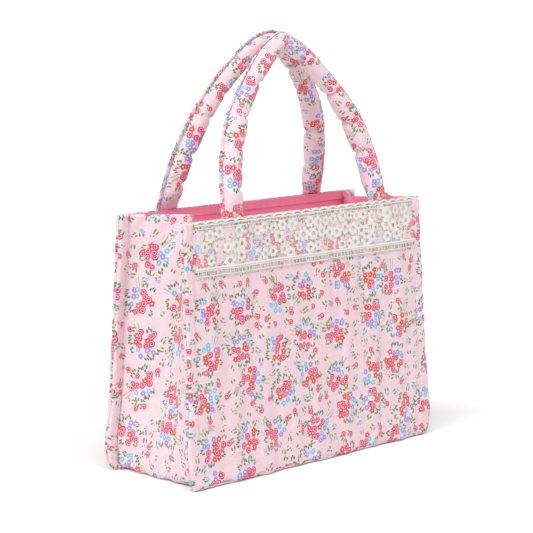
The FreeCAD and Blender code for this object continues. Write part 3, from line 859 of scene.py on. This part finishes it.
def arch(count):
    """Points of the handle's middle line as x, height and place between root and crown."""
    leg = LEG_RADIUS * LEG_TURN
    crown = CROWN_RADIUS * (math.pi - 2 * LEG_TURN)
    total = 2 * leg + crown + 2 * ROOT_DEPTH
    s = np.linspace(0, total, count)
    x, h = np.zeros(count), np.zeros(count)
    for i, here in enumerate(s):
        mirrored = here > total / 2
        t = (total - here if mirrored else here) - ROOT_DEPTH
        if t < 0:
            px, ph = HANDLE_HALF_SPAN, t
        elif t < leg:
            a = t / LEG_RADIUS
            px = HANDLE_HALF_SPAN - LEG_RADIUS * (1 - math.cos(a))
            ph = LEG_RADIUS * math.sin(a)
        else:
            a = LEG_TURN + (t - leg) / CROWN_RADIUS
            px = CROWN_RADIUS * math.cos(a)
            ph = ARCH_HEIGHT - CROWN_RADIUS * (1 - math.sin(a))
        x[i], h[i] = (px if mirrored else -px), ph
    return x, h, s, total


def settle(points, faces, cut, pinned, frames, pressure, stiff, bend):
    """Lets a closed cloth form fill out; `cut` holds its points as they were before sewing."""
    mesh = bpy.data.meshes.new("settling")
    mesh.from_pydata([tuple(p) for p in points], [], [tuple(f) for f in faces])
    form = bpy.data.objects.new("settling", mesh)
    bpy.context.scene.collection.objects.link(form)
    form.shape_key_add(name="sewn")
    pattern = form.shape_key_add(name="cut")
    pattern.data.foreach_set("co", np.asarray(cut, np.float32).ravel())
    group = form.vertex_groups.new(name="held")
    group.add([int(i) for i in np.flatnonzero(pinned)], 1.0, "REPLACE")
    cloth = form.modifiers.new("settle", "CLOTH")
    cloth.settings.quality = 7
    cloth.settings.mass = 0.15
    cloth.settings.air_damping = 3.0
    cloth.settings.tension_stiffness = stiff
    cloth.settings.compression_stiffness = stiff
    cloth.settings.shear_stiffness = stiff * 0.5
    cloth.settings.bending_stiffness = bend
    cloth.settings.tension_damping = 15
    cloth.settings.compression_damping = 15
    cloth.settings.use_pressure = True
    cloth.settings.uniform_pressure_force = pressure
    cloth.settings.vertex_group_mass = "held"
    cloth.settings.rest_shape_key = pattern
    cloth.settings.effector_weights.gravity = 0
    cloth.collision_settings.use_collision = False
    cloth.point_cache.frame_start = 1
    cloth.point_cache.frame_end = frames
    for frame_number in range(1, frames + 1):
        bpy.context.scene.frame_set(frame_number)
    settled = form.evaluated_get(bpy.context.evaluated_depsgraph_get())
    result = np.zeros(len(points) * 3, np.float32)
    settled.data.vertices.foreach_get("co", result)
    bpy.data.objects.remove(form)
    bpy.context.scene.frame_set(1)
    return result.reshape(-1, 3).astype(float)


def handle_line(side, pinch, sway):
    """A handle's middle line, how near the crown each point is, and the lengths along it."""
    x, h, s, total = arch(HANDLE_ROWS)
    on_crown = smooth((h - 0.45 * ARCH_HEIGHT) / (0.4 * ARCH_HEIGHT))
    x = x + sway * smooth(h / (0.6 * ARCH_HEIGHT))
    h = h + pinch * on_crown * (9.0 * np.exp(-abs(x - sway) / (16 * MM)) - 7.5) * MM
    y = side * (ROOT_AWAY + (CROWN_AWAY - ROOT_AWAY) * np.clip(h / ARCH_HEIGHT, 0, 1.2))
    z = HEIGHT + np.where(h < 0, h, h / ARCH_HEIGHT * (CROWN_TOP - HEIGHT))
    return np.stack([x, y, z], axis=-1), on_crown, s, total


def square_to(line, side):
    """For each point of the line the direction out of its bend, and the one across the bend."""
    ahead = np.gradient(line, axis=0)
    ahead /= np.linalg.norm(ahead, axis=1, keepdims=True)
    across = np.array([0.0, CROWN_TOP - HEIGHT, side * (ROOT_AWAY - CROWN_AWAY)])
    across /= np.linalg.norm(across)
    out = np.cross(ahead, across)
    out /= np.linalg.norm(out, axis=1, keepdims=True)
    if out[len(line) // 2, 2] < 0:
        out = -out
    return out, across


def gathers(s, total, turn, pinch, seed):
    """Creases across a handle's inside with fullness between them, and which points they hold."""
    inner = (0.5 - 0.5 * np.cos(turn)) ** 1.2
    pick = random.Random(seed)
    relief = np.zeros((HANDLE_ROWS, HANDLE_SIDES))
    held = np.zeros((HANDLE_ROWS, HANDLE_SIDES), bool)
    at = ROOT_DEPTH + pick.uniform(24, 34) * MM
    while at < total - ROOT_DEPTH - 16 * MM:
        depth = pick.uniform(1.8, 4.8) * MM
        slant = pick.uniform(-6, 6) * MM
        place = abs(s[:, None] - at - slant * np.sin(turn))
        relief -= depth * np.exp(-(place / (2.6 * MM)) ** 2) * inner
        held |= (place < 1.3 * MM) & (inner > pick.uniform(0.3, 0.6))
        gap = pick.uniform(30, 58) * MM
        swell = np.clip(1 - ((s[:, None] - at - gap / 2) / (gap / 2)) ** 2, 0, 1)
        relief += pick.uniform(0.2, 1.6) * MM * swell * inner
        at += gap
    creased = np.exp(-abs(s[:, None] - total / 2) / (5 * MM))
    relief -= 5.5 * MM * pinch * creased * inner
    held |= (abs(s[:, None] - total / 2) < 1.3 * MM) & (pinch > 0.5) & (inner > 0.2)
    return relief, held


def flat_seam(name, middle, out, across, s, squeeze, seed):
    """The flat seam allowance that stands out along a handle's outside."""
    width = np.linspace(0, 1, 9)
    puff = 0.35 * MM * np.sin(2 * math.pi * s / 0.013)
    reach = 6.4 * MM * squeeze[:, None, None]
    strip = middle[:, None] + out[:, None] * ((width - 0.42)[None, :, None] * reach)
    strip = strip + across * puff[:, None, None] * width[None, :, None]
    uv = stacked(width[None, :] * 7.2 * MM + 5.0 * seed + 0.09, s[:, None])
    thick = np.full((HANDLE_ROWS, len(width)), 1.3 * MM)
    return slab(name, strip, thick, thick, uv, radius=2.4 * MM)


def handle(name, side, pinch, sway, seed):
    """A padded tube, gathered along its inside, with a flat seam along its outside."""
    line, on_crown, s, total = handle_line(side, pinch, sway)
    out, across = square_to(line, side)
    turn = np.linspace(0, 2 * math.pi, HANDLE_SIDES, endpoint=False)[None, :]
    relief, held = gathers(s, total, turn, pinch, seed)
    from_end = np.minimum(s, total - s)[:, None] - ROOT_DEPTH
    fill = smooth((from_end + 4 * MM) / (26 * MM))
    flat = 0.12 + 0.88 * fill
    wide = 1.08 - 0.08 * fill
    slim = 1 - (0.12 + 0.06 * pinch) * on_crown[:, None]
    radius = TUBE_RADIUS * slim + relief * fill
    ring = (np.cos(turn) * radius * wide)[..., None] * out[:, None]
    ring = ring + (np.sin(turn) * radius * flat)[..., None] * across
    grid = line[:, None] + ring

    # The shape as cut: a straight tube as long as the outside seam, with no gathers.
    steps = np.linalg.norm(np.diff(grid[:, 0], axis=0), axis=1)
    along = np.r_[0, np.cumsum(steps)]
    cut = np.zeros_like(grid)
    cut[..., 0] = np.cos(turn) * TUBE_RADIUS * slim * wide
    cut[..., 1] = np.sin(turn) * TUBE_RADIUS * slim * flat
    cut[..., 2] = along[:, None]
    held[:, [0, 1, -1]] = True
    held[:6], held[-6:] = True, True

    index = np.arange(HANDLE_ROWS * HANDLE_SIDES).reshape(HANDLE_ROWS, HANDLE_SIDES)
    wrapped = np.concatenate([index, index[:, :1]], axis=1)
    down_first = np.cross(grid[1, 0] - grid[0, 0], grid[0, 1] - grid[0, 0])
    faces = quads_over(wrapped, flip=np.dot(down_first, out[0]) > 0)
    caps = [tuple(index[0]), tuple(index[-1][::-1])]
    settled = settle(grid.reshape(-1, 3), [*faces, *caps], cut.reshape(-1, 3), held.ravel(),
                     frames=22, pressure=7.0, stiff=25.0, bend=0.6)
    grid = settled.reshape(HANDLE_ROWS, HANDLE_SIDES, 3)

    closed = np.concatenate([grid, grid[:, :1]], axis=1)
    around = np.linspace(0, 2 * math.pi * TUBE_RADIUS, HANDLE_SIDES + 1)[None, :]
    uv = stacked(around + 5.0 * seed, along[:, None])
    piece = make_piece(name, closed.reshape(-1, 3), grid_faces(HANDLE_ROWS, HANDLE_SIDES + 1),
                       uv.reshape(-1, 2))
    weld_ends(piece)
    seam_middle = line + out * (TUBE_RADIUS * slim + 1.0 * MM) * wide
    squeeze = 1 - (0.3 + 0.4 * pinch) * on_crown
    seam = flat_seam(name + "_seam", seam_middle, out, across, s, squeeze, seed)
    return piece, seam


def weld_ends(piece):
    """Joins a tube's first and last column of points and closes its two ends."""
    made = bmesh.new()
    made.from_mesh(piece.data)
    bmesh.ops.remove_doubles(made, verts=made.verts, dist=1e-6)
    bmesh.ops.holes_fill(made, edges=[e for e in made.edges if e.is_boundary], sides=80)
    bmesh.ops.recalc_face_normals(made, faces=made.faces)
    made.to_mesh(piece.data)
    made.free()
    piece.data.shade_smooth()


def build_handle(side, word, pinch, sway, seed):
    """One handle, bending over the top edge; pinch creases its crown, sway leans it along X."""
    cover, seam = handle(f"{word}_handle_padded", side, pinch, sway, seed)
    for piece in (cover, seam):
        dress(piece, PRINTED, body=None)
        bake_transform(piece)
    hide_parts(f"{word}_handle_cover", f"{word}_handle_core", f"{word}_handle_tabs")


# -------- stage and camera
FLOOR_SIZE = 400            # wide enough to hide the horizon
WORLD_STRENGTH = 0.33
SUNS = (                    # name, direction, softness in degrees, strength
    ("key", (0.85, 0.05, -0.75), 55, 2.2),
    ("front", (0.1, 0.6, -1.0), 50, 1.85),
)
CAMERA_TURN, CAMERA_RISE = math.radians(44.81), math.radians(8.51)
CAMERA_AIM = Vector((-0.0115, 0.0, 0.2044))
CAMERA_DISTANCE = 2.0
CAMERA_LENS, SENSOR_WIDTH = 126.4, 36


def stage():
    bpy.ops.mesh.primitive_plane_add(size=FLOOR_SIZE, location=(0, 0, 0))
    floor = bpy.context.object
    floor.name = "floor"
    material, _, shader = new_material("floor")
    shader.inputs["Base Color"].default_value = colour(250, 250, 250)
    shader.inputs["Roughness"].default_value = 0.9
    floor.data.materials.append(material)
    world = bpy.data.worlds.new("studio")
    bpy.context.scene.world = world
    world.use_nodes = True
    world.node_tree.nodes["Background"].inputs[0].default_value = (1, 1, 1, 1)
    world.node_tree.nodes["Background"].inputs[1].default_value = WORLD_STRENGTH
    for name, toward, softness, power in SUNS:
        light = bpy.data.lights.new(name, "SUN")
        light.energy = power
        light.angle = math.radians(softness)
        lamp = bpy.data.objects.new(name, light)
        lamp.rotation_euler = Vector(toward).to_track_quat("-Z", "Y").to_euler()
        bpy.context.scene.collection.objects.link(lamp)
    for x in (-0.08, 0.08):
        light = bpy.data.lights.new("inside_fill", "POINT")
        light.energy = 0.085
        light.shadow_soft_size = 0.03
        lamp = bpy.data.objects.new("inside_fill", light)
        lamp.location = (x, 0.0, 0.2)
        lamp.visible_camera = False
        bpy.context.scene.collection.objects.link(lamp)
    bpy.context.scene.view_settings.view_transform = "Standard"


def camera():
    level_reach = math.cos(CAMERA_RISE)
    back = Vector((-math.sin(CAMERA_TURN) * level_reach, -math.cos(CAMERA_TURN) * level_reach,
                   math.sin(CAMERA_RISE)))
    data = bpy.data.cameras.new("camera")
    data.lens = CAMERA_LENS
    data.sensor_width = SENSOR_WIDTH
    seen_from = bpy.data.objects.new("camera", data)
    seen_from.location = CAMERA_AIM + back * CAMERA_DISTANCE
    seen_from.rotation_euler = (-back).to_track_quat("-Z", "Y").to_euler()
    bpy.context.scene.collection.objects.link(seen_from)
    bpy.context.scene.camera = seen_from


camera()
stage()
flat_wall("front_wall", -1, ("front_outer_panel", "front_wadding"))
flat_wall("back_wall", 1, ("back_outer_panel", "back_wadding"))
gusset("left_side", -1, ("left_outer_gusset", "left_gusset_wadding"))
gusset("right_side", 1, ("right_outer_gusset", "right_gusset_wadding"))
base_panel()
LINING_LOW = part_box("base_lining")[0].z
for word, side in (("front", -1), ("back", 1)):
    flat_lining(f"{word}_lining_cloth", side, f"{word}_lining", LINING_LOW, HEIGHT - 0.8 * MM,
                LAYER, LINING, CORAL_LINING)
    flat_lining(f"{word}_hem", side, f"{word}_facing", HEIGHT - FACING_HEIGHT, HEIGHT - 0.4 * MM,
                LAYER + LINING, HEM, HEM_LINING)
    corner_stitches(f"{word}_seam_stitches", side, f"{word}_corner_stitches")
for word, hand in (("left", -1), ("right", 1)):
    gusset_lining(f"{word}_gusset_lining_cloth", hand, f"{word}_gusset_lining", LINING_LOW, 0.0,
                  LINING, CORAL_LINING)
    gusset_lining(f"{word}_gusset_hem", hand, f"{word}_gusset_facing", HEIGHT - FACING_HEIGHT,
                  LINING, HEM, HEM_LINING)
base_lining()
lace_net()
embroidery()
scallops()
ladder()
build_handle(-1, "front", pinch=0.9, sway=0.0, seed=3)
build_handle(1, "back", pinch=0.3, sway=4 * MM, seed=8)
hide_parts("base_board")
